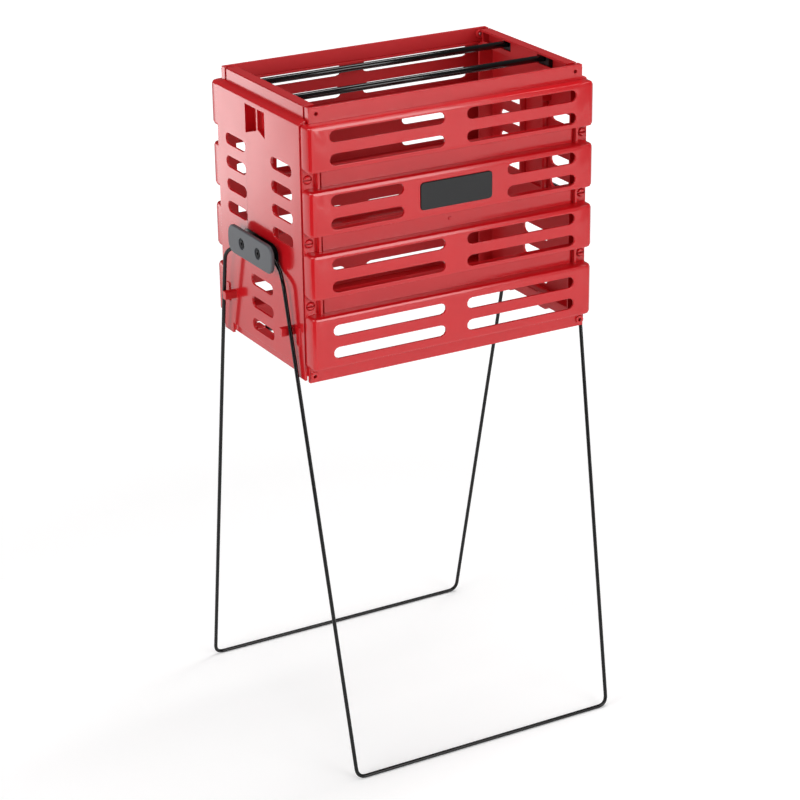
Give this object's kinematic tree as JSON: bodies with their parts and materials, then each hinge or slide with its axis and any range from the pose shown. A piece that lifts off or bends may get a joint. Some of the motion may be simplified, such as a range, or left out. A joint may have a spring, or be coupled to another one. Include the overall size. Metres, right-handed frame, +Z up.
{
  "type": "tennis ball hopper",
  "caption": "Slatted plastic ball basket on two hinged wire leg frames that swing up to become carrying handles, with sliding top bars.",
  "frame": {"origin": "centre of the footprint, on the surface that the leg frames stand on", "axes": "+X along the basket's long side, to the right seen from the front; -Y the front face with the plate; +Z up"},
  "size_m": [0.3588, 0.3336, 0.706],
  "materials": {
    "panel": "moulded polypropylene, satin gloss, red",
    "wire": "round steel wire, black gloss coating",
    "bar": "round steel rod, black gloss coating",
    "shoe": "moulded black plastic",
    "hub": "moulded dark grey plastic",
    "clamp": "moulded black plastic",
    "badge": "plain dark plate, bare",
    "screw": "blackened steel"
  },
  "bodies": {
    "root": {"front_panel": "panel", "rear_panel": "panel", "badge_plate": "badge", "left_end_panel": "panel", "right_end_panel": "panel", "bottom_bar_front": "bar", "bottom_bar_rear": "bar", "left_hub_back": "clamp", "right_hub_back": "clamp", "left_hub_cap": "hub", "right_hub_cap": "hub", "left_hub_screw_front": "screw", "left_hub_screw_rear": "screw", "right_hub_screw_front": "screw", "right_hub_screw_rear": "screw"},
    "front_leg": {"front_leg_frame": "wire"},
    "rear_leg": {"rear_leg_frame": "wire"},
    "front_top_bar": {"top_bar_front": "bar", "front_bar_shoe_left": "shoe", "front_bar_shoe_right": "shoe"},
    "rear_top_bar": {"top_bar_rear": "bar", "rear_bar_shoe_left": "shoe", "rear_bar_shoe_right": "shoe"}
  },
  "joints": [
    {"name": "front_leg_hinge", "type": "hinge", "parent": "root", "child": "front_leg", "pos_m": [0, -0.018, 0.54], "axis": [-1, 0, 0], "range_deg": [0, 166]},
    {"name": "rear_leg_hinge", "type": "hinge", "parent": "root", "child": "rear_leg", "pos_m": [0, 0.018, 0.54], "axis": [1, 0, 0], "range_deg": [0, 166]},
    {"name": "front_bar_slide", "type": "slide", "parent": "root", "child": "front_top_bar", "axis": [0, -1, 0], "range_m": [0, 0.037]},
    {"name": "rear_bar_slide", "type": "slide", "parent": "root", "child": "rear_top_bar", "axis": [0, 1, 0], "range_m": [0, 0.037]}
  ]
}
